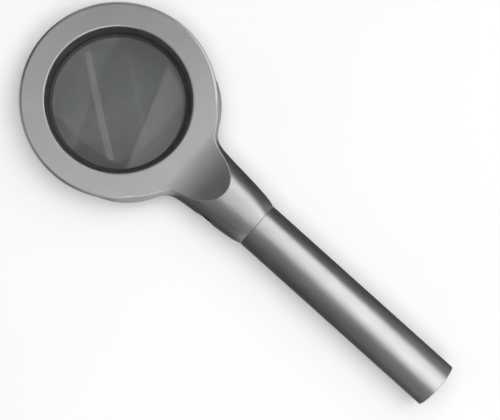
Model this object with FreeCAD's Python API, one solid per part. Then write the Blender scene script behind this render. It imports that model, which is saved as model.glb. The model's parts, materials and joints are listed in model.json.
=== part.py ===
"""Illuminated low vision magnifier: lens ring, scooped tongue, flared neck and battery handle.

While the pieces are made, X runs from the lens axis along the handle, Z is up and Z = 0 is the
handle's axis. The finished pieces are then moved so that the origin is the middle of the
magnifier's length and width, on the surface it lies on.
"""
import FreeCAD, Part
import math
import os

V = FreeCAD.Vector
X_AXIS = V(1, 0, 0)
Y_AXIS = V(0, 1, 0)
Z_AXIS = V(0, 0, 1)

# Driving dimensions, in millimetres.
handle_radius = 12.0
handle_length = 116.8
seam_x = 89.6
seam_gap = 0.12
seam_bevel = 0.12
handle_end_x = seam_x + handle_length
ring_radius = 47.9
ring_top_z = 5.4
base_z = -handle_radius
crown_radius = 2.2
crown_angle = math.radians(38)
side_z = 3.2
side_radius = 30.0
side_angle = math.radians(16)
wall = 1.8

# Lens and its seat.
lens_radius = 34.5
lens_edge_top_z = -5.6
lens_edge_thickness = 2.6
lens_top_dome = 3.9
lens_low_dome = 2.6
clear_radius = 32.5
bezel_radius = 35.8
bezel_edge_fillet = 0.9
funnel_foot_radius = 33.9
funnel_foot_z = -4.4
funnel_wall = 1.6
seat_bore_radius = 34.8
seat_outer_radius = 36.4
seat_shelf_z = -9.2
seat_lip_z = -10.6

# Neck: it flares from the seam, sweeps out at the shoulder and wraps round the ring.
flare_step = 1.4
flare_length = 4.5
flare_slope = 0.075
shoulder_x = 45.3
shoulder_rise = 4.65
shoulder_length = 3.0
wrap_start_x = 25.0
wrap_full_x = 44.0
wrap_proud = 2.1

# Tongue: flat with the ring, then one arc that scoops up to the crest of the neck.
scoop_start_x = 43.4
scoop_radius = 49.3
tongue_edge_fillet = 0.7

# Lamps.
led_board_z = -3.8
board_thickness = 1.0
led_board_inner = 37.1
led_board_outer = 44.8
lamp_radius = 39.0
lamp_angles = (35, 85, 155, 205, 275, 325)
window_inner_radius = 36.9
window_outer_radius = 39.8
window_arc_deg = 104
window_angles = (0, 120, 240)
shell_screw_circle = 41.6
shell_screw_angles = (60, 180, 300)
board_screw_circle = 42.6
board_screw_angles = (110, 230, 350)
screw_seat_z = -9.0
thread_radius = 0.95
pilot_radius = 0.97
screw_clearance = 1.05
boss_radius = 2.4
ring_boss_z = -6.0
neck_boss_z = -1.0
post_radius = 3.0
board_post_radius = 1.9
neck_screw_x = seam_x - 12.0

# Driver and switch.
driver_z = -4.0
driver_x0 = seam_x - 37.0
driver_x1 = seam_x - 15.2
driver_half_width = 8.0
driver_screw_y = 5.0
button_x = 69.4
button_radius = 3.42
button_face_y = -14.5
button_dome = 0.45
button_travel = 0.7
dimple_radius = 9.0
dimple_floor_y = -13.4
guide_radius = 4.38
guide_rim_radius = 5.4
guide_rim_y = -10.8
switch_face_y = -6.0
plunger_out = 0.9
plunger_inside = 0.9
plunger_radius = 1.6
lead_radius = 0.45
lamp_lead_y = 2.0
battery_lead_y = 4.5
battery_lead_x = driver_x1 - 1.2

# Battery handle.
tube_wall = 1.4
tube_bore = handle_radius - tube_wall
tube_end_wall = 3.2
end_dome = 0.15
end_fillet = 0.25
spigot_radius = tube_bore - 0.1
spigot_length = 10.0
collar_body_radius = 9.9
collar_flange_radius = 10.8
contact_board_x = seam_x + 1.8
contact_board_thickness = 1.2
cell_radius = 7.25
cell_length = 49.5
cell_nub = 1.0
cell_front_x = seam_x + 7.0


def box(x0, x1, y0, y1, z0, z1):
    """Block between two corners."""
    return Part.makeBox(x1 - x0, y1 - y0, z1 - z0, V(x0, y0, z0))


def rod(radius, start, end):
    """Cylinder between two points."""
    along = end - start
    return Part.makeCylinder(radius, along.Length, start, along)


def at_angle(radius, degrees, z):
    """Point on a circle about the lens axis."""
    return V(radius * math.cos(math.radians(degrees)), radius * math.sin(math.radians(degrees)), z)


def revolve_z(points):
    """Solid of revolution about the lens axis, from (radius, z) corners."""
    wire = Part.makePolygon([V(r, 0, z) for r, z in points] + [V(points[0][0], 0, points[0][1])])
    return Part.Face(wire).revolve(V(0, 0, 0), Z_AXIS, 360)


def revolve_x(points):
    """Solid of revolution about the handle's axis, from (x, radius) corners."""
    wire = Part.makePolygon([V(x, 0, r) for x, r in points] + [V(points[0][0], 0, points[0][1])])
    return Part.Face(wire).revolve(V(0, 0, 0), X_AXIS, 360)


def fuse(shapes):
    """One solid from a list of shapes."""
    result = shapes[0]
    for shape in shapes[1:]:
        result = result.fuse(shape)
    return result.removeSplitter()


def cut_all(shape, tools):
    """The shape with every tool cut away."""
    for tool in tools:
        shape = shape.cut(tool)
    return shape


def half_space(above):
    """Everything above or below the joint plane between the two shells."""
    z0 = 0.0 if above else -60.0
    return box(-100, 300, -100, 100, z0, z0 + 60.0)


def coil(radius_start, radius_end, wire_radius, turns, length, base, axis):
    """Spring of round wire: a coil of constant pitch from base along axis."""
    steps_per_turn = 12
    steps = int(turns * steps_per_turn)
    points = []
    for i in range(steps + 1):
        part = i / steps
        angle = 2 * math.pi * turns * part
        radius = radius_start + (radius_end - radius_start) * part
        points.append(V(radius * math.cos(angle), radius * math.sin(angle),
                        wire_radius + (length - 2 * wire_radius) * part))
    curve = Part.BSplineCurve()
    curve.interpolate(points)
    spine = Part.Wire(curve.toShape())
    section = Part.Wire(Part.Circle(points[0], curve.tangent(0)[0], wire_radius).toShape())
    solid = spine.makePipeShell([section], True, True)
    solid.Placement = FreeCAD.Placement(base, FreeCAD.Rotation(Z_AXIS, axis))
    return solid


def bent_wire(points, bend_radius, wire_radius):
    """Round wire along straight runs that tangent arcs join."""
    edges = []
    start = points[0]
    for i in range(1, len(points) - 1):
        corner = points[i]
        back = (points[i - 1] - corner).normalize()
        ahead = (points[i + 1] - corner).normalize()
        half_turn = (math.pi - back.getAngle(ahead)) / 2
        setback = bend_radius * math.tan(half_turn)
        arc_start = corner + back * setback
        arc_end = corner + ahead * setback
        middle_way = (back + ahead).normalize()
        arc_middle = corner + middle_way * (bend_radius / math.cos(half_turn) - bend_radius)
        edges.append(Part.LineSegment(start, arc_start).toShape())
        edges.append(Part.Arc(arc_start, arc_middle, arc_end).toShape())
        start = arc_end
    edges.append(Part.LineSegment(start, points[-1]).toShape())
    section = Part.Wire(Part.Circle(points[0], points[1] - points[0], wire_radius).toShape())
    return Part.Wire(edges).makePipeShell([section], True, False)


def machine_screw(head, down, shank_length, head_radius, head_height):
    """Pan head screw with a cross recess; head is the underside of the head, down its direction."""
    top = head - down * head_height
    body = rod(head_radius, top, head).fuse(rod(thread_radius, head, head + down * shank_length))
    slot_depth = head_height * 0.5
    recess = box(-1.1, 1.1, -0.25, 0.25, 0, slot_depth).fuse(box(-0.25, 0.25, -1.1, 1.1, 0, slot_depth))
    recess.Placement = FreeCAD.Placement(top, FreeCAD.Rotation(Z_AXIS, down))
    return body.cut(recess)


def scoop_z(x, depth):
    """Height of the tongue's surface, sunk by depth into the wall."""
    rise = max(x - scoop_start_x, 0.0)
    return ring_top_z - depth + scoop_radius - math.sqrt(scoop_radius ** 2 - rise ** 2)


def above_tongue(depth):
    """Space over the ring face and the scoop, down to depth under their surface."""
    z = ring_top_z - depth
    end_x = scoop_start_x + scoop_radius * math.sin(math.radians(36))
    middle_x = scoop_start_x + scoop_radius * math.sin(math.radians(18))
    start = V(scoop_start_x, 0, z)
    middle = V(middle_x, 0, scoop_z(middle_x, depth))
    end = V(end_x, 0, scoop_z(end_x, depth))
    edges = [
        Part.LineSegment(V(-80, 0, z), start).toShape(),
        Part.Arc(start, middle, end).toShape(),
        Part.LineSegment(end, V(end_x, 0, 40)).toShape(),
        Part.LineSegment(V(end_x, 0, 40), V(-80, 0, 40)).toShape(),
        Part.LineSegment(V(-80, 0, 40), V(-80, 0, z)).toShape(),
    ]
    face = Part.Face(Part.Wire(edges))
    face.translate(V(0, -60, 0))
    return face.extrude(V(0, 120, 0))


def neck_half_width(x):
    """Half width of the neck at its widest level, from the seam to where it wraps round the ring."""
    if x < shoulder_x:
        share = min(max((x - wrap_start_x) / (wrap_full_x - wrap_start_x), -0.2), 1.0)
        wrap_radius = ring_radius + wrap_proud * math.sin(share * math.pi / 2)
        return math.sqrt(wrap_radius ** 2 - x ** 2)
    back = seam_x - x
    flare = flare_step * (1 - math.exp(-back / flare_length)) + flare_slope * back
    return handle_radius + flare + shoulder_rise * math.exp((shoulder_x - x) / shoulder_length)


def neck_tube(stations, inset):
    """Loft of elliptical sections, inset from the outer surface of the neck."""
    sections = []
    height = handle_radius - inset
    for x in stations:
        half_width = max(neck_half_width(x) - inset, height + 0.002)
        ellipse = Part.Ellipse(V(x, half_width, 0), V(x, 0, height), V(x, 0, 0))
        sections.append(Part.Wire(ellipse.toShape()))
    return Part.makeLoft(sections, True, False)


def ring_section(inset):
    """Edges of the ring's outside, inset by a wall, from its flat base up to where its crown starts."""
    side_centre = ring_radius - side_radius
    reach = side_radius - inset
    bottom = base_z + inset
    sine = math.sin(side_angle)
    cosine = math.cos(side_angle)
    # The lower round is tangent to the side and to the base.
    round_radius = (side_z - base_z - side_radius * sine) / (1 - sine)
    round_x = side_centre + (side_radius - round_radius) * cosine
    round_z = side_z - (side_radius - round_radius) * sine
    low_radius = round_radius - inset
    half = (math.pi / 2 + side_angle) / 2
    foot = V(round_x, 0, bottom)
    joint = V(round_x + low_radius * cosine, 0, round_z - low_radius * sine)
    low_middle = V(round_x + low_radius * math.cos(half), 0, round_z - low_radius * math.sin(half))
    side_middle = V(side_centre + reach * math.cos(side_angle / 2), 0,
                    side_z - reach * math.sin(side_angle / 2))
    side_top = V(ring_radius - inset, 0, side_z)
    edges = [
        Part.Arc(foot, low_middle, joint).toShape(),
        Part.Arc(joint, side_middle, side_top).toShape(),
    ]
    return edges, foot, side_top


def ring_solid():
    """Full ring disc with a crowned top edge; the bore is cut later."""
    edges, foot, side_top = ring_section(0.0)
    crown_x = ring_radius - crown_radius * math.sin(crown_angle)
    crown_z = ring_top_z - crown_radius
    crown_low = V(ring_radius, 0, crown_z + crown_radius * math.cos(crown_angle))
    crown_middle = V(crown_x + crown_radius * math.sin(crown_angle / 2), 0,
                     crown_z + crown_radius * math.cos(crown_angle / 2))
    crown_top = V(crown_x, 0, ring_top_z)
    edges += [
        Part.LineSegment(side_top, crown_low).toShape(),
        Part.Arc(crown_low, crown_middle, crown_top).toShape(),
        Part.LineSegment(crown_top, V(0, 0, ring_top_z)).toShape(),
        Part.LineSegment(V(0, 0, ring_top_z), V(0, 0, base_z)).toShape(),
        Part.LineSegment(V(0, 0, base_z), foot).toShape(),
    ]
    return Part.Face(Part.Wire(Part.sortEdges(edges)[0])).revolve(V(0, 0, 0), Z_AXIS, 360)


def neck_solid():
    """Neck and tongue as a full solid, with the tongue's rim softened."""
    stations = [22.0, 25.0, 28.0, 31.0, 34.0, 37.0, 39.5, 41.5, 43.5, 45.3, 47.0, 49.0, 51.5, 54.5, 58.5,
                63.0, 69.0, 75.0, 80.0, 84.0, 87.0, 89.0, seam_x]
    neck = neck_tube(stations, 0.0).cut(above_tongue(0.0))
    rim = [edge for edge in neck.Edges if on_tongue(edge)]
    return neck.makeFillet(tongue_edge_fillet, rim)


def on_tongue(edge):
    """True for the edges where the tongue's surface meets the neck's side."""
    middle = edge.valueAt((edge.FirstParameter + edge.LastParameter) / 2)
    points = [vertex.Point for vertex in edge.Vertexes] + [middle]
    runs_along = edge.BoundBox.XLength > 1.0
    return runs_along and all(abs(p.z - scoop_z(p.x, 0)) < 0.02 for p in points)


def outer_body():
    """Ring, tongue and neck as one full solid."""
    return ring_solid().fuse(neck_solid()).removeSplitter()


def ring_cavity():
    """Lamp channel inside the ring."""
    edges, foot, side_top = ring_section(wall)
    floor_z = base_z + wall
    roof_z = ring_top_z - wall
    corners = [
        foot,
        V(seat_outer_radius, 0, floor_z),
        V(seat_outer_radius, 0, funnel_foot_z),
        V(funnel_outer(funnel_foot_z), 0, funnel_foot_z),
        V(funnel_outer(roof_z), 0, roof_z),
        V(side_top.x, 0, roof_z),
        side_top,
    ]
    for start, end in zip(corners, corners[1:]):
        edges.append(Part.LineSegment(start, end).toShape())
    channel = Part.Face(Part.Wire(Part.sortEdges(edges)[0])).revolve(V(0, 0, 0), Z_AXIS, 360)
    ledge = window_outer_radius + 0.6
    floor = revolve_z([(seat_outer_radius, floor_z), (ledge, floor_z), (ledge + 1.6, floor_z + 1.8),
                       (seat_outer_radius, floor_z + 1.8)])
    return channel.fuse(floor).removeSplitter()


def funnel_inner(z):
    """Radius of the sloping inner wall of the ring at height z."""
    part = (z - funnel_foot_z) / (ring_top_z - funnel_foot_z)
    return funnel_foot_radius + (bezel_radius - funnel_foot_radius) * part


def funnel_outer(z):
    """Radius of the back of that wall."""
    return funnel_inner(z) + funnel_wall


def neck_cavity():
    """Hollow of the neck, open to the lamp channel and to the seam."""
    hollow = neck_tube([41.5, 43.5, 45.3, 47.0, 49.0, 51.5, 56.0, 63.0, 70.0, 77.0, 81.0], wall + 0.3)
    hollow = hollow.cut(above_tongue(wall))
    mouth = rod(collar_body_radius, V(seam_x - 9.1, 0, 0), V(seam_x + 1, 0, 0))
    groove = rod(collar_flange_radius, V(seam_x - 6, 0, 0), V(seam_x - 4, 0, 0))
    return hollow.fuse(mouth).fuse(groove)


def bore_cutter():
    """Space inside the bezel, from above the ring down to the foot of the inner wall."""
    return revolve_z([(0, ring_top_z + 5), (funnel_inner(ring_top_z + 5), ring_top_z + 5),
                      (funnel_foot_radius, funnel_foot_z), (0, funnel_foot_z)])


def button_bore():
    """Hole through the boss for the button's guide bush."""
    return rod(guide_radius + 0.02, V(button_x, -20, 0), V(button_x, -9.0, 0))


def dimple():
    """Hollow for the fingertip around the push button."""
    return Part.makeSphere(dimple_radius, V(button_x, dimple_floor_y - dimple_radius, 0))


def button_boss():
    """Thickened wall behind the dimple that holds the button's guide."""
    return rod(guide_rim_radius + 0.8, V(button_x, -18, 0), V(button_x, guide_rim_y, 0))


def seam_chamfer():
    """Bevel on the neck's end that makes the seam a fine groove."""
    reach = 2.0
    low = handle_radius - seam_bevel
    return revolve_x([(seam_x - reach, low + reach), (seam_x, low), (seam_x + 1, low),
                      (seam_x + 1, low + reach)])


def shell_blank():
    """The full body and the same body hollowed, before it is parted into its two shells."""
    body = outer_body()
    hollow = body.cut(ring_cavity()).cut(neck_cavity().cut(button_boss()))
    return body, cut_all(hollow, [button_bore(), dimple(), seam_chamfer()])


def driver_screw_places():
    """Middles of the driver board's two screws, at the level of the handle's axis."""
    return [V(driver_x0 + 3, -driver_screw_y, 0), V(driver_x0 + 3, driver_screw_y, 0)]


def pilot_hole(place, z0, z1):
    """Hole that a screw cuts its thread in."""
    return rod(pilot_radius, V(place.x, place.y, z0), V(place.x, place.y, z1))


def top_shell(hollow):
    """Ring bezel with its sloping inner wall, the tongue and the upper half of the neck."""
    shell = hollow.common(half_space(True)).cut(bore_cutter())
    overlap_z = 0.5
    wall_foot = revolve_z([(funnel_foot_radius, funnel_foot_z), (funnel_inner(overlap_z), overlap_z),
                           (funnel_outer(overlap_z), overlap_z), (funnel_outer(funnel_foot_z), funnel_foot_z)])
    shell = shell.fuse(wall_foot).removeSplitter()
    boss_top = ring_top_z - wall + 0.1
    for angle in shell_screw_angles:
        shell = shell.fuse(rod(boss_radius, at_angle(shell_screw_circle, angle, ring_boss_z),
                               at_angle(shell_screw_circle, angle, boss_top)))
    shell = shell.fuse(rod(boss_radius, V(neck_screw_x, 0, neck_boss_z),
                           V(neck_screw_x, 0, handle_radius - wall)))
    for angle in shell_screw_angles:
        shell = shell.cut(pilot_hole(at_angle(shell_screw_circle, angle, 0), ring_boss_z - 1, 0.5))
    shell = shell.cut(pilot_hole(V(neck_screw_x, 0, 0), neck_boss_z - 1, 3.5))
    return soften_bezel(shell.removeSplitter())


def bottom_shell(body, hollow):
    """Lower half of the ring and neck, with the lens seat, lamp slots and screw bosses."""
    shell = hollow.common(half_space(False))
    bore = revolve_z([(0, 1), (seat_outer_radius + 0.4, 1), (seat_outer_radius + 0.4, funnel_foot_z),
                      (seat_bore_radius, funnel_foot_z), (seat_bore_radius, seat_shelf_z),
                      (clear_radius + 0.2, seat_shelf_z), (clear_radius + 0.2, seat_lip_z),
                      (seat_bore_radius, base_z), (seat_bore_radius, base_z - 1), (0, base_z - 1)])
    shell = shell.cut(bore)
    for angle in window_angles:
        shell = shell.cut(arc_slot(window_inner_radius, window_outer_radius, angle, window_arc_deg,
                                   base_z - 1, base_z + wall + 0.1))
    floor_z = base_z + 0.6
    posts = []
    for angle in shell_screw_angles:
        posts.append(rod(post_radius, at_angle(shell_screw_circle, angle, floor_z),
                         at_angle(shell_screw_circle, angle, ring_boss_z)))
    for angle in board_screw_angles:
        posts.append(rod(board_post_radius, at_angle(board_screw_circle, angle, floor_z),
                         at_angle(board_screw_circle, angle, led_board_z)))
    posts.append(rod(post_radius, V(neck_screw_x, 0, floor_z), V(neck_screw_x, 0, neck_boss_z)))
    for place in driver_screw_places():
        posts.append(rod(board_post_radius, V(place.x, place.y, floor_z), V(place.x, place.y, driver_z)))
    for post in posts:
        shell = shell.fuse(post.common(body))
    for angle in shell_screw_angles:
        shell = shell.cut(screw_hole(at_angle(shell_screw_circle, angle, 0), ring_boss_z))
    shell = shell.cut(screw_hole(V(neck_screw_x, 0, 0), neck_boss_z))
    for angle in board_screw_angles:
        shell = shell.cut(pilot_hole(at_angle(board_screw_circle, angle, 0),
                                     led_board_z - 4.7, led_board_z + 1))
    for place in driver_screw_places():
        shell = shell.cut(pilot_hole(place, driver_z - 4.7, driver_z + 1))
    return shell.removeSplitter()


def screw_hole(place, top_z):
    """Counterbore and clearance hole for a shell screw, from the underside."""
    counterbore = rod(2.15, V(place.x, place.y, base_z - 1), V(place.x, place.y, screw_seat_z))
    clearance = rod(1.15, V(place.x, place.y, base_z), V(place.x, place.y, top_z + 1))
    return counterbore.fuse(clearance)


def arc_slot(inner, outer, middle_deg, span_deg, z0, z1):
    """Curved slot or pad about the lens axis with square ends."""
    profile = Part.Face(Part.makePolygon([V(inner, 0, z0), V(outer, 0, z0), V(outer, 0, z1),
                                          V(inner, 0, z1), V(inner, 0, z0)]))
    solid = profile.revolve(V(0, 0, 0), Z_AXIS, span_deg)
    solid.rotate(V(0, 0, 0), Z_AXIS, middle_deg - span_deg / 2)
    return solid


def dome_arc(edge_z, rise):
    """Arc of a lens face in the XZ plane, from its edge to the lens axis."""
    sphere_r = (lens_radius ** 2 + rise ** 2) / (2 * abs(rise))
    half_r = lens_radius / 2
    half_rise = math.sqrt(sphere_r ** 2 - half_r ** 2) - (sphere_r - abs(rise))
    middle_z = edge_z + math.copysign(half_rise, rise)
    return Part.Arc(V(lens_radius, 0, edge_z), V(half_r, 0, middle_z), V(0, 0, edge_z + rise)).toShape()


def lens():
    """Biconvex lens with a flat ground edge."""
    top = lens_edge_top_z
    low = lens_edge_top_z - lens_edge_thickness
    edges = [
        dome_arc(top, lens_top_dome),
        dome_arc(low, -lens_low_dome),
        Part.LineSegment(V(lens_radius, 0, low), V(lens_radius, 0, top)).toShape(),
        Part.LineSegment(V(0, 0, low - lens_low_dome), V(0, 0, top + lens_top_dome)).toShape(),
    ]
    return Part.Face(Part.Wire(Part.sortEdges(edges)[0])).revolve(V(0, 0, 0), Z_AXIS, 360)


def lens_gasket():
    """Rubber ring between the lens's edge and the seat."""
    low = lens_edge_top_z - lens_edge_thickness
    inner = lens_radius - 0.8
    outer = seat_bore_radius - 0.1
    return revolve_z([(inner, seat_shelf_z), (outer, seat_shelf_z), (outer, low), (inner, low - 0.25)])


def lens_retaining_ring():
    """Bevelled ring between the lens and the foot of the inner wall."""
    outer = seat_bore_radius - 0.05
    lens_line = lens_edge_top_z + 0.06
    return revolve_z([(outer, funnel_foot_z), (funnel_foot_radius - 0.2, funnel_foot_z),
                      (clear_radius, funnel_foot_z - 0.3), (clear_radius, lens_line + 0.43),
                      (outer, lens_line)])


def light_window():
    """Frosted ring: a flange inside the floor with three curved pads that fill its slots."""
    floor_z = base_z + wall
    inner = seat_outer_radius + 0.1
    outer = window_outer_radius + 0.4
    flange = revolve_z([(inner, floor_z), (outer, floor_z), (outer, floor_z + 1.0), (inner, floor_z + 1.0)])
    for angle in shell_screw_angles:
        flange = flange.cut(rod(post_radius + 0.2, at_angle(shell_screw_circle, angle, floor_z - 1),
                                at_angle(shell_screw_circle, angle, floor_z + 2)))
    for angle in window_angles:
        pad = arc_slot(window_inner_radius + 0.05, window_outer_radius - 0.05, angle,
                       window_arc_deg - 0.3, base_z + 0.4, floor_z + 0.2)
        flange = flange.fuse(pad)
    return flange.removeSplitter()


def led_board():
    """Ring-shaped circuit board, notched round the shell bosses and drilled for its screws."""
    top = led_board_z + board_thickness
    board = revolve_z([(led_board_inner, led_board_z), (led_board_outer, led_board_z),
                       (led_board_outer, top), (led_board_inner, top)])
    for angle in shell_screw_angles:
        for circle in (shell_screw_circle, shell_screw_circle + 2.0):
            board = board.cut(rod(boss_radius + 0.3, at_angle(circle, angle, led_board_z - 1),
                                  at_angle(circle, angle, top + 1)))
    for angle in board_screw_angles:
        board = board.cut(rod(screw_clearance, at_angle(board_screw_circle, angle, led_board_z - 1),
                              at_angle(board_screw_circle, angle, top + 1)))
    return board


def around_ring(shape, angle):
    """Copy of a shape turned about the lens axis."""
    copy = shape.copy()
    copy.rotate(V(0, 0, 0), Z_AXIS, angle)
    return copy


def leds():
    """Surface lamps under the board: a package with a shallow well over the die."""
    package = box(lamp_radius - 1.3, lamp_radius + 1.5, -1.75, 1.75, led_board_z - 1.9, led_board_z)
    well = Part.makeCone(1.2, 0.9, 0.6, V(lamp_radius + 0.1, 0, led_board_z - 1.9))
    lamp = package.cut(well)
    return Part.makeCompound([around_ring(lamp, angle) for angle in lamp_angles])


def led_resistors():
    """One small chip resistor beside each lamp."""
    chip = box(43.4, 44.2, -0.8, 0.8, led_board_z - 0.5, led_board_z)
    return Part.makeCompound([around_ring(chip, angle + 9) for angle in lamp_angles])


def board_screws():
    """Screws of the lamp board and of the driver board."""
    down = V(0, 0, -1)
    screws = []
    for angle in board_screw_angles:
        head = at_angle(board_screw_circle, angle, led_board_z + board_thickness)
        screws.append(machine_screw(head, down, 5.0, 1.8, 1.2))
    for place in driver_screw_places():
        head = V(place.x, place.y, driver_z + board_thickness)
        screws.append(machine_screw(head, down, 5.0, 1.8, 1.2))
    return Part.makeCompound(screws)


def shell_screws():
    """Screws that go in from the underside and hold the two shells together."""
    screws = []
    for angle in shell_screw_angles:
        seat = at_angle(shell_screw_circle, angle, screw_seat_z)
        screws.append(machine_screw(seat, Z_AXIS, 9.0, 1.95, 1.3))
    screws.append(machine_screw(V(neck_screw_x, 0, screw_seat_z), Z_AXIS, 12.0, 1.95, 1.3))
    return Part.makeCompound(screws)


def driver_board():
    """Circuit board in the neck that drives the lamps."""
    board = box(driver_x0, driver_x1, -driver_half_width, driver_half_width, driver_z,
                driver_z + board_thickness)
    for place in driver_screw_places():
        board = board.cut(rod(screw_clearance, V(place.x, place.y, driver_z - 1),
                              V(place.x, place.y, driver_z + 3)))
    return board


def driver_inductor():
    """Wire-wound choke: a square base with a round core."""
    z = driver_z + board_thickness
    x = driver_x0 + 9.0
    y = 4.1
    base = box(x - 2.5, x + 2.5, y - 2.5, y + 2.5, z, z + 0.6)
    core = rod(2.3, V(x, y, z + 0.6), V(x, y, z + 1.6))
    cap = rod(2.5, V(x, y, z + 1.6), V(x, y, z + 2.2))
    return fuse([base, core, cap])


def driver_chip():
    """Small outline chip with three legs on each side."""
    z = driver_z + board_thickness
    x = driver_x0 + 7.2
    chip = box(x, x + 3.0, -4.3, -2.7, z + 0.1, z + 1.2)
    for i in range(3):
        leg_x = x + 0.35 + i * 0.95
        chip = chip.fuse(box(leg_x, leg_x + 0.4, -4.9, -2.1, z, z + 0.3))
    return chip


def switch_body():
    """Side-acting tact switch with the bore that its plunger slides in."""
    z = driver_z + board_thickness
    body = box(button_x - 3, button_x + 3, switch_face_y, switch_face_y + 3.6, z, 3.0)
    bore_end_y = switch_face_y + plunger_inside + button_travel + 0.3
    bore = rod(plunger_radius + 0.08, V(button_x, switch_face_y - 1, 0), V(button_x, bore_end_y, 0))
    return body.cut(bore)


def switch_plunger():
    """Round pin of the switch that the button's stem pushes."""
    return rod(plunger_radius, V(button_x, switch_face_y - plunger_out, 0),
               V(button_x, switch_face_y + plunger_inside, 0))


def power_button():
    """Button cap with a domed face, a flange that keeps it in and a stem to the switch."""
    flange_y = guide_rim_y + 0.9
    sphere_r = (button_radius ** 2 + button_dome ** 2) / (2 * button_dome)
    cap = rod(button_radius, V(button_x, button_face_y, 0), V(button_x, flange_y, 0))
    cap = cap.common(Part.makeSphere(sphere_r, V(button_x, button_face_y + sphere_r, 0)))
    flange = rod(4.5, V(button_x, flange_y, 0), V(button_x, flange_y + 0.9, 0))
    stem = rod(1.2, V(button_x, flange_y + 0.9, 0), V(button_x, switch_face_y - plunger_out, 0))
    return fuse([cap, flange, stem])


def button_guide():
    """Bush in the neck's wall with an inner rim that the button's flange stops against."""
    bush = rod(guide_radius, V(button_x, -13.2, 0), V(button_x, guide_rim_y, 0))
    rim = rod(guide_rim_radius, V(button_x, guide_rim_y, 0), V(button_x, guide_rim_y + 0.85, 0))
    bore = rod(button_radius + 0.08, V(button_x, -15, 0), V(button_x, -9, 0))
    guide = bush.fuse(rim).cut(bore)
    return guide.cut(dimple()).removeSplitter()


def button_spring():
    """Return spring between the button's flange and the switch."""
    start_y = guide_rim_y + 1.85
    length = switch_face_y - 0.05 - start_y
    return coil(2.3, 2.3, 0.22, 3.0, length, V(button_x, start_y, 0), Y_AXIS)


def lamp_lead(side):
    """Lead from the driver board up and over to the ring board."""
    y = side * lamp_lead_y
    board_top = led_board_z + board_thickness
    driver_top = driver_z + board_thickness
    lift = board_top + 4.0
    ring_x = led_board_outer - 1.4
    driver_end_x = driver_x0 + 2.4
    points = [V(ring_x, y, board_top), V(ring_x, y, lift), V(driver_end_x, y, lift),
              V(driver_end_x, y, driver_top)]
    return bent_wire(points, 1.8, lead_radius)


def battery_lead(side):
    """Lead from the driver board to the back of the contact board."""
    y = side * battery_lead_y
    driver_top = driver_z + board_thickness
    run_z = 0.6
    points = [V(battery_lead_x, y, driver_top), V(battery_lead_x, y, run_z), V(contact_board_x, y, run_z)]
    return bent_wire(points, 2.0, lead_radius)


def neck_collar():
    """Metal spigot held in the neck, threaded for the handle; the thread is shown as fine grooves."""
    end_x = seam_x + spigot_length
    body = collar_body_radius - 0.03
    flange = collar_flange_radius - 0.03
    back_x = seam_x - 8.8
    profile = [
        (back_x, 7.0), (back_x, body), (seam_x - 5.95, body), (seam_x - 5.95, flange),
        (seam_x - 4.05, flange), (seam_x - 4.05, body), (seam_x + 0.6, body),
        (seam_x + 0.6, spigot_radius), (seam_x + 1.6, spigot_radius), (seam_x + 1.6, 9.6),
        (seam_x + 3.0, 9.6), (seam_x + 3.0, spigot_radius),
    ]
    x = seam_x + 4.0
    while x < end_x - 1.2:
        profile += [(x, spigot_radius), (x + 0.4, spigot_radius - 0.45), (x + 0.6, spigot_radius - 0.45),
                    (x + 1.0, spigot_radius)]
        x += 1.5
    profile += [(end_x - 0.4, spigot_radius), (end_x, spigot_radius - 0.4), (end_x, 8.5),
                (contact_board_x, 8.5), (contact_board_x, 7.0)]
    return revolve_x(profile)


def collar_seal():
    """O-ring in the spigot's groove."""
    return Part.makeTorus(10.05, 0.45, V(seam_x + 2.3, 0, 0), X_AXIS)


def contact_board():
    """Insulating disc with a raised pad under the battery contact."""
    disc = rod(8.45, V(contact_board_x, 0, 0), V(contact_board_x + contact_board_thickness, 0, 0))
    pad = rod(3.4, V(contact_board_x + contact_board_thickness, 0, 0),
              V(contact_board_x + contact_board_thickness + 0.2, 0, 0))
    return disc.fuse(pad)


def battery_contact():
    """Tapered spring on the contact board that touches the front cell's nub."""
    start_x = contact_board_x + contact_board_thickness + 0.22
    return coil(2.9, 1.9, 0.3, 3.0, cell_front_x - 0.1 - start_x, V(start_x, 0, 0), X_AXIS)


def cell(front_x):
    """AA cell: can with rounded shoulders, positive nub towards the neck."""
    body_x = front_x + cell_nub
    can = rod(cell_radius, V(body_x, 0, 0), V(body_x + cell_length, 0, 0))
    rims = [edge for edge in can.Edges if isinstance(edge.Curve, Part.Circle)]
    can = can.makeFillet(0.6, rims)
    nub = rod(2.7, V(front_x, 0, 0), V(body_x + 0.1, 0, 0))
    return can.fuse(nub)


def rear_cell_x():
    """Front of the rear cell's nub, which touches the front cell."""
    return cell_front_x + cell_nub + cell_length + 0.02


def cells_end_x():
    """Flat rear end of the rear cell."""
    return rear_cell_x() + cell_nub + cell_length


def battery_sleeve():
    """Liner that centres the cells in the tube, slotted along its upper side."""
    start_x = seam_x + spigot_length + 0.8
    end_x = cells_end_x() - 0.5
    sleeve = rod(tube_bore - 0.1, V(start_x, 0, 0), V(end_x, 0, 0)).cut(
        rod(cell_radius + 0.15, V(start_x - 1, 0, 0), V(end_x + 1, 0, 0)))
    slot = box(start_x + 6, end_x - 6, -2.0, 2.0, 0, 20)
    return sleeve.cut(slot)


def tail_spring():
    """Conical spring that presses the cells forward."""
    start_x = cells_end_x() + 0.1
    return coil(3.2, 6.2, 0.45, 4.0, handle_end_x - tube_end_wall - start_x, V(start_x, 0, 0), X_AXIS)


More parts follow.
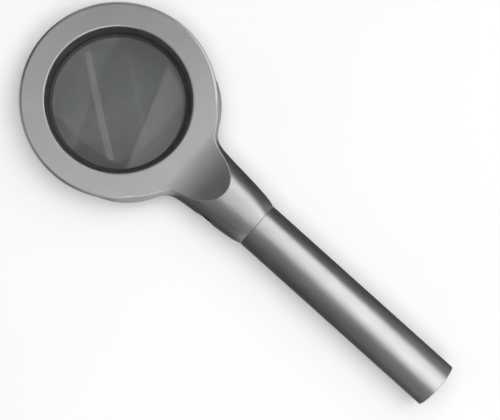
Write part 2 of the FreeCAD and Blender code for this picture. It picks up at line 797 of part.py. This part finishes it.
def handle_tube():
    """Straight tube with a closed, slightly domed end and a crisp rim."""
    start_x = seam_x + seam_gap
    tube = rod(handle_radius, V(start_x, 0, 0), V(handle_end_x, 0, 0))
    sphere_r = (handle_radius ** 2 + end_dome ** 2) / (2 * end_dome)
    tube = tube.common(Part.makeSphere(sphere_r, V(handle_end_x - sphere_r, 0, 0)))
    rim = [edge for edge in tube.Edges
           if isinstance(edge.Curve, Part.Circle) and edge.Curve.Center.x > handle_end_x - 2]
    tube = tube.makeFillet(end_fillet, rim)
    bore = rod(tube_bore, V(start_x - 1, 0, 0), V(handle_end_x - tube_end_wall, 0, 0))
    bevel = revolve_x([(start_x - 0.1, handle_radius + 1), (start_x - 0.1, handle_radius - seam_bevel - 0.1),
                       (start_x + seam_bevel, handle_radius), (start_x + seam_bevel, handle_radius + 1)])
    return tube.cut(bore).cut(bevel)


def soften_bezel(shell):
    """Round over the edge where the ring's face turns down to the lens."""
    rim = []
    for edge in shell.Edges:
        if isinstance(edge.Curve, Part.Circle):
            on_bezel = abs(edge.Curve.Radius - bezel_radius) < 0.01
            if on_bezel and abs(edge.CenterOfMass.z - ring_top_z) < 0.01:
                rim.append(edge)
    return shell.makeFillet(bezel_edge_fillet, rim)


def export(name, shape):
    """Move a piece to the library's origin and write its STEP file."""
    placed = shape.copy()
    placed.translate(V(-(handle_end_x - ring_radius) / 2, 0, handle_radius))
    placed.exportStep("parts/%s.step" % name)
    print("%-22s %10.1f mm3  solids %d  valid %s"
          % (name, placed.Volume, len(placed.Solids), placed.isValid()))


def main():
    os.makedirs("parts", exist_ok=True)
    body, hollow = shell_blank()
    export("top_shell", top_shell(hollow))
    export("bottom_shell", bottom_shell(body, hollow))
    export("lens", lens())
    export("lens_gasket", lens_gasket())
    export("lens_retaining_ring", lens_retaining_ring())
    export("light_window", light_window())
    export("led_board", led_board())
    export("leds", leds())
    export("led_resistors", led_resistors())
    export("board_screws", board_screws())
    export("shell_screws", shell_screws())
    export("driver_board", driver_board())
    export("driver_inductor", driver_inductor())
    export("driver_chip", driver_chip())
    export("switch_body", switch_body())
    export("switch_plunger", switch_plunger())
    export("power_button", power_button())
    export("button_guide", button_guide())
    export("button_spring", button_spring())
    export("red_lamp_lead", lamp_lead(1))
    export("black_lamp_lead", lamp_lead(-1))
    export("positive_battery_lead", battery_lead(1))
    export("negative_battery_lead", battery_lead(-1))
    export("neck_collar", neck_collar())
    export("collar_seal", collar_seal())
    export("contact_board", contact_board())
    export("battery_contact", battery_contact())
    export("battery_sleeve", battery_sleeve())
    export("front_cell", cell(cell_front_x))
    export("rear_cell", cell(rear_cell_x()))
    export("tail_spring", tail_spring())
    export("handle_tube", handle_tube())


main()
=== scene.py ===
"""Low vision magnifier: finishes, clear lens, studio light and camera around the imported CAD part."""
import json
import math

import bpy
from mathutils import Matrix, Vector


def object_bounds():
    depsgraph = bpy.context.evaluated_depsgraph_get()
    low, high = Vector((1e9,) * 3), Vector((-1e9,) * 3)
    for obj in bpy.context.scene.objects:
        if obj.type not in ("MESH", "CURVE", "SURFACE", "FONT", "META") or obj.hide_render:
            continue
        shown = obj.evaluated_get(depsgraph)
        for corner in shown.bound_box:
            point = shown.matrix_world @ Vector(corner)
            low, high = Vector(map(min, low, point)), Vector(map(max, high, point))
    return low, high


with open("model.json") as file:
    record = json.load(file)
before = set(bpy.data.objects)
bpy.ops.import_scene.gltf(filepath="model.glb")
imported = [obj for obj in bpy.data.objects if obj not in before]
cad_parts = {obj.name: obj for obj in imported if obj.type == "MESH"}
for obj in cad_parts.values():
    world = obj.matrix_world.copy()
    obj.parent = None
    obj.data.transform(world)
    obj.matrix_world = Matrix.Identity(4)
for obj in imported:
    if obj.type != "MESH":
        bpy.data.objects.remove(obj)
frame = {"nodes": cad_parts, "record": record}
cad_low, cad_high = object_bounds()

MM = 0.001
LENS_X = -79.25 * MM
BEZEL_RADIUS = 35.8 * MM
RING_TOP = 17.4 * MM


# ---------------------------------------------------------------- materials

class Tree:
    """A node tree, written one node at a time, that ends in one shader."""

    def __init__(self, owner, shader, coords):
        owner.use_nodes = True
        self.owner = owner
        self.nodes = owner.node_tree.nodes
        self.links = owner.node_tree.links
        self.shader = self.nodes[shader]
        self.coords = self.nodes.new("ShaderNodeTexCoord").outputs[coords]

    def feed(self, socket, value):
        """Give a socket a value, or link another node's socket to it."""
        if isinstance(value, bpy.types.NodeSocket):
            self.links.new(value, socket)
        else:
            socket.default_value = value

    def add(self, kind, inputs=None, **settings):
        """A node of this kind, with its settings and its inputs."""
        node = self.nodes.new("ShaderNode" + kind)
        for key, value in settings.items():
            setattr(node, key, value)
        for key, value in (inputs or {}).items():
            self.feed(node.inputs[key], value)
        return node

    def set(self, **values):
        """Inputs of the shader, by their name with _ for a space; gives back the tree's owner."""
        for key, value in values.items():
            self.feed(self.shader.inputs[key.replace("_", " ")], value)
        return self.owner

    def maths(self, operation, *values):
        return self.add("Math", dict(enumerate(values)), operation=operation).outputs["Value"]

    def mix(self, first, second, factor=1.0, blend_type="MIX"):
        """Colour of first with second over it."""
        inputs = {"Factor": factor, "A": first, "B": second}
        return self.add("Mix", inputs, data_type="RGBA", blend_type=blend_type).outputs["Result"]

    def rise(self, value, start, end):
        """0 where the value is at start, 1 where it is at end."""
        inputs = {"Value": value, "From Min": start, "From Max": end}
        return self.add("MapRange", inputs).outputs["Result"]

    def axes(self, vector):
        parts = self.add("SeparateXYZ", {"Vector": vector}).outputs
        return parts["X"], parts["Y"], parts["Z"]

    def noise(self, scale, detail=3.0, roughness=0.55, stretch=(1, 1, 1)):
        """Noise of so many grains per metre, drawn out along the axes."""
        mapping = self.add("Mapping", {"Vector": self.coords, "Scale": stretch})
        node = self.add("TexNoise", {"Vector": mapping.outputs["Vector"], "Scale": scale,
                                     "Detail": detail, "Roughness": roughness})
        return node.outputs["Fac"]

    def ramp(self, factor, low, high, start=0.0, end=1.0):
        """Colour or grey that runs from low to high as factor goes from start to end."""
        node = self.add("ValToRGB", {"Fac": factor})
        for element, place, value in zip(node.color_ramp.elements, (start, end), (low, high)):
            element.position = place
            element.color = value if isinstance(value, tuple) else (value, value, value, 1)
        return node.outputs["Color"]

    def spread(self, factor, low, high):
        """Number that runs from low to high as factor goes from 0.25 to 0.75."""
        node = self.add("MapRange", {"Value": factor, "From Min": 0.25, "From Max": 0.75,
                                     "To Min": low, "To Max": high})
        return node.outputs["Result"]

    def bump(self, height, strength, distance):
        """Normal that follows the height; distance is in metres."""
        inputs = {"Height": height, "Strength": strength, "Distance": distance}
        return self.add("Bump", inputs).outputs["Normal"]


def colour(red, green, blue):
    return (red, green, blue, 1.0)


def tinted(base, factor):
    return tuple(min(1.0, c * factor) for c in base[:3]) + (1.0,)


def material_tree(name):
    return Tree(bpy.data.materials.new(name), "Principled BSDF", "Object")


def inside_bezel(tree):
    """1 on the wall between the bezel's edge and the lens, 0 on the ring's face and outside: where the
    painted bore shade goes.
    """
    inputs = {"Vector": tree.coords, "Location": (LENS_X, 0, 0)}
    middle = tree.add("Mapping", inputs, vector_type="TEXTURE").outputs["Vector"]
    x, y, z = tree.axes(middle)
    flat = tree.add("CombineXYZ", {"X": x, "Y": y}).outputs["Vector"]
    radius = tree.add("VectorMath", {0: flat}, operation="LENGTH").outputs["Value"]
    near = tree.rise(radius, BEZEL_RADIUS + 0.6 * MM, BEZEL_RADIUS + 0.1 * MM)
    low = tree.rise(z, RING_TOP - 0.3 * MM, RING_TOP - 0.8 * MM)
    return tree.maths("MULTIPLY", near, low)


def satin_metal(name, base, rough, grain, grain_depth, painted_bore_shade=None):
    """Fine-blasted and lacquered metal: cloudy tone, even tiny grain and slight handling marks.

    The bore shade is how light the painted shade on the wall inside the bezel is, beside the rest of the
    piece: it stands in for the dark reflections on that recessed wall.
    """
    tree = material_tree(name)
    cloud = tree.noise(60, 4.0)
    speck = tree.noise(grain, 2.0, 0.6)
    smear = tree.noise(240, 3.0, 0.6, (0.35, 1, 1))
    tone = tree.ramp(cloud, tinted(base, 0.965), tinted(base, 1.03), 0.3, 0.7)
    shade = tree.mix(tone, tree.ramp(speck, 0.93, 1.05, 0.3, 0.7), blend_type="MULTIPLY")
    # Painted shade: the wall inside the bezel is darkened towards the bore shade's tone, for the dark
    # reflections on it.
    if painted_bore_shade is not None:
        shade = tree.mix(shade, tinted(base, painted_bore_shade), inside_bezel(tree))
    return tree.set(Base_Color=shade, Metallic=1.0,
                    Roughness=tree.spread(smear, rough - 0.03, rough + 0.03),
                    Normal=tree.bump(speck, grain_depth, 0.02 * MM))


def plain_metal(name, base, rough, stretch=(1, 1, 1)):
    """Bare turned or drawn metal with fine lines and slightly uneven gloss."""
    tree = material_tree(name)
    lines = tree.noise(1800, 2.0, 0.6, stretch)
    tone = tree.ramp(lines, tinted(base, 0.86), tinted(base, 1.06), 0.25, 0.75)
    return tree.set(Base_Color=tone, Metallic=1.0, Roughness=tree.spread(lines, rough - 0.06, rough + 0.1),
                    Normal=tree.bump(lines, 0.25, 0.02 * MM))


def moulded(name, base, rough, grain=1500, depth=0.2):
    """Moulded plastic or rubber with a fine spark-eroded skin."""
    tree = material_tree(name)
    cloud = tree.noise(180, 3.0)
    skin = tree.noise(grain, 2.0, 0.6)
    tone = tree.ramp(cloud, tinted(base, 0.88), tinted(base, 1.1), 0.3, 0.7)
    return tree.set(Base_Color=tone, Roughness=tree.spread(skin, rough - 0.06, rough + 0.08),
                    Normal=tree.bump(skin, depth, 0.03 * MM))


def circuit_board(name, base):
    """Solder mask over copper tracks that show as slightly raised, paler lines."""
    tree = material_tree(name)
    lattice = tree.add("TexBrick", {"Vector": tree.coords, "Scale": 240.0, "Mortar Size": 0.09,
                                    "Mortar Smooth": 0.2, "Color1": (0, 0, 0, 1), "Color2": (0, 0, 0, 1),
                                    "Mortar": (1, 1, 1, 1)})
    tracks = lattice.outputs["Color"]
    tone = tree.ramp(tracks, tinted(base, 0.9), tinted(base, 1.25), 0.2, 0.8)
    return tree.set(Base_Color=tone, Roughness=0.38, Normal=tree.bump(tracks, 0.3, 0.03 * MM))


def frosted(name, base):
    """Frosted light window: milky plastic that lets the lamps through."""
    tree = material_tree(name)
    haze = tree.noise(900, 3.0, 0.6)
    tone = tree.ramp(haze, tinted(base, 0.94), tinted(base, 1.04), 0.3, 0.7)
    return tree.set(Base_Color=tone, Roughness=tree.spread(haze, 0.42, 0.58),
                    Subsurface_Weight=0.3, Transmission_Weight=0.25,
                    Normal=tree.bump(haze, 0.3, 0.03 * MM))


def clear_glass(name):
    """Optical lens: polished, with a neutral grey body."""
    tree = material_tree(name)
    wipe = tree.noise(60, 2.0, 0.5, (1, 0.4, 1))
    tone = tree.ramp(wipe, colour(0.37, 0.38, 0.38), colour(0.4, 0.41, 0.41), 0.3, 0.7)
    return tree.set(Base_Color=tone, Roughness=0.0, Transmission_Weight=1.0, IOR=1.5)


def cell_wrapper(name):
    """Wrapper of a battery cell: dark, slightly metallic foil."""
    tree = material_tree(name)
    skin = tree.noise(700, 3.0)
    tone = tree.ramp(skin, colour(0.022, 0.024, 0.028), colour(0.045, 0.047, 0.052), 0.3, 0.7)
    return tree.set(Base_Color=tone, Metallic=0.3, Roughness=tree.spread(skin, 0.24, 0.36),
                    Normal=tree.bump(skin, 0.15, 0.03 * MM))


BODY = {"base": colour(0.66, 0.665, 0.67), "rough": 0.33, "grain": 5200, "grain_depth": 0.35}

finishes = {
    "body_silver": satin_metal("body_silver", **BODY),
    "clear_lens": clear_glass("clear_lens"),
    "seal_rubber": moulded("seal_rubber", colour(0.02, 0.02, 0.021), 0.62, 2600, 0.4),
    "frosted_window": frosted("frosted_window", colour(0.85, 0.86, 0.87)),
    "board_white": circuit_board("board_white", colour(0.72, 0.73, 0.72)),
    "board_green": circuit_board("board_green", colour(0.02, 0.16, 0.07)),
    "led_package": moulded("led_package", colour(0.82, 0.78, 0.55), 0.35),
    "chip_black": moulded("chip_black", colour(0.03, 0.03, 0.032), 0.5),
    "switch_cream": moulded("switch_cream", colour(0.66, 0.61, 0.48), 0.45),
    "screw_steel": plain_metal("screw_steel", colour(0.5, 0.5, 0.51), 0.3),
    "spring_steel": plain_metal("spring_steel", colour(0.6, 0.59, 0.57), 0.26),
    "button_black": moulded("button_black", colour(0.014, 0.014, 0.015), 0.42, 2200, 0.3),
    "lead_red": moulded("lead_red", colour(0.45, 0.02, 0.015), 0.45),
    "lead_black": moulded("lead_black", colour(0.02, 0.02, 0.02), 0.45),
    "collar_brass": plain_metal("collar_brass", colour(0.2, 0.175, 0.12), 0.34, (0.2, 1, 1)),
    "ring_black": moulded("ring_black", colour(0.02, 0.02, 0.021), 0.4),
    "sleeve_black": moulded("sleeve_black", colour(0.035, 0.035, 0.037), 0.55),
    "cell_wrap": cell_wrapper("cell_wrap"),
}


def dress(piece, slot):
    """Give a CAD node the finish of its slot."""
    piece.data.materials.clear()
    piece.data.materials.append(finishes[slot])


for part in frame["record"]["subparts"]:
    dress(frame["nodes"][part["node"]], part["material_slot"])
# Copy of the body finish with painted shade on the wall inside the bezel, for the top shell.
bezel_silver_painted_shade = satin_metal("body_silver_painted_bore_shade", **BODY, painted_bore_shade=0.5)
frame["nodes"]["top_shell"].data.materials[0] = bezel_silver_painted_shade


# ---------------------------------------------------------------- studio

def ceiling_light(name, middle, size, radiance, turn=0.0, height=1.0, glossy=True):
    """Level soft box over the object; middle and size are in metres at height, turn in degrees."""
    data = bpy.data.lights.new(name, "AREA")
    data.shape = "RECTANGLE"
    data.size, data.size_y = size
    data.energy = radiance * math.pi * size[0] * size[1]
    lamp = bpy.data.objects.new(name, data)
    bpy.context.scene.collection.objects.link(lamp)
    lamp.location = (middle[0], middle[1], height)
    lamp.rotation_euler = (0, 0, math.radians(turn))
    lamp.visible_glossy = glossy
    lamp.visible_camera = False


def make_floor():
    mesh = bpy.data.meshes.new("floor")
    half = 4.0
    mesh.from_pydata([(-half, -half, 0), (half, -half, 0), (half, half, 0), (-half, half, 0)], [],
                     [(0, 1, 2, 3)])
    floor = bpy.data.objects.new("floor", mesh)
    bpy.context.scene.collection.objects.link(floor)
    floor.location = (0, 0, cad_low.z)
    tree = material_tree("studio_floor")
    mottle = tree.noise(4, 2.0)
    tone = tree.ramp(mottle, colour(0.86, 0.86, 0.86), colour(0.9, 0.9, 0.9), 0.3, 0.7)
    mesh.materials.append(tree.set(Base_Color=tone, Roughness=0.9))
    floor.visible_glossy = False


# The upward part of a direction, from -1 to 1, and how light the room is that way.
ROOM = ((-1.0, 0.13), (-0.6, 0.03), (0.0, 0.04), (0.5, 0.05), (0.92, 0.06), (0.975, 0.27), (1.0, 0.3))
# How light the room's corners and the low parts of its ends are, and where they set in and are full.
CORNERS = 0.5
CORNER_START, CORNER_FULL = 0.14, 0.3


def grey(level):
    return (level, level, level * 1.02, 1.0)


def make_world():
    """Dim room around the soft boxes: lighter overhead, in its corners and low down at its ends."""
    world = bpy.data.worlds.new("studio")
    bpy.context.scene.world = world
    tree = Tree(world, "Background", "Generated")
    x, y, z = tree.axes(tree.coords)
    ramp = tree.add("ValToRGB", {"Fac": tree.rise(z, -1.0, 1.0)})
    steps = ramp.color_ramp.elements
    steps[0].color = grey(ROOM[0][1])
    steps[1].color = grey(ROOM[-1][1])
    for place, level in ROOM[1:-1]:
        steps.new((place + 1) / 2).color = grey(level)
    sideways = tree.maths("MAXIMUM", tree.maths("ABSOLUTE", y), tree.maths("MULTIPLY", z, -1.0))
    across = tree.maths("MULTIPLY", tree.maths("ABSOLUTE", x), sideways)
    corner = tree.rise(across, CORNER_START, CORNER_FULL)
    tree.set(Color=tree.mix(ramp.outputs["Color"], grey(CORNERS), corner))


def make_camera():
    """Camera over the middle of the magnifier, leaning to its near side, handle to the lower right."""
    data = bpy.data.cameras.new("camera")
    camera = bpy.data.objects.new("camera", data)
    bpy.context.scene.collection.objects.link(camera)
    bpy.context.scene.camera = camera
    distance = 0.7
    frame_width = 0.2427
    target = Vector((3.21 * MM, 3.18 * MM, 12 * MM))
    lean = math.radians(6.0)
    turn = math.radians(42.07)
    back = Vector((0, -math.sin(lean), math.cos(lean)))
    right = Vector((math.cos(turn), math.sin(turn), 0))
    right = (right - back * right.dot(back)).normalized()
    up = back.cross(right)
    data.sensor_width = 36.0
    data.lens = data.sensor_width * distance / frame_width
    data.clip_start, data.clip_end = 0.01, 20
    camera.rotation_mode = "QUATERNION"
    camera.rotation_quaternion = Matrix((right, up, back)).transposed().to_quaternion()
    camera.location = target + back * distance


make_floor()
make_world()
make_camera()
ceiling_light("key", (0.265, 0.545), (0.7, 2.5), 1.3, 20.0)
ceiling_light("overhead", (-0.21, -0.13), (0.26, 0.7), 0.3, -35.0)
ceiling_light("strip", (-0.317, -0.004), (0.9, 0.05), 1.2, -35.0, height=0.98)
ceiling_light("near_side", (0.35, -1.3), (1.3, 1.8), 0.08)
ceiling_light("fill", (0, 0), (3.0, 3.0), 1.6, height=2.2, glossy=False)
bpy.context.scene.view_settings.view_transform = "Standard"
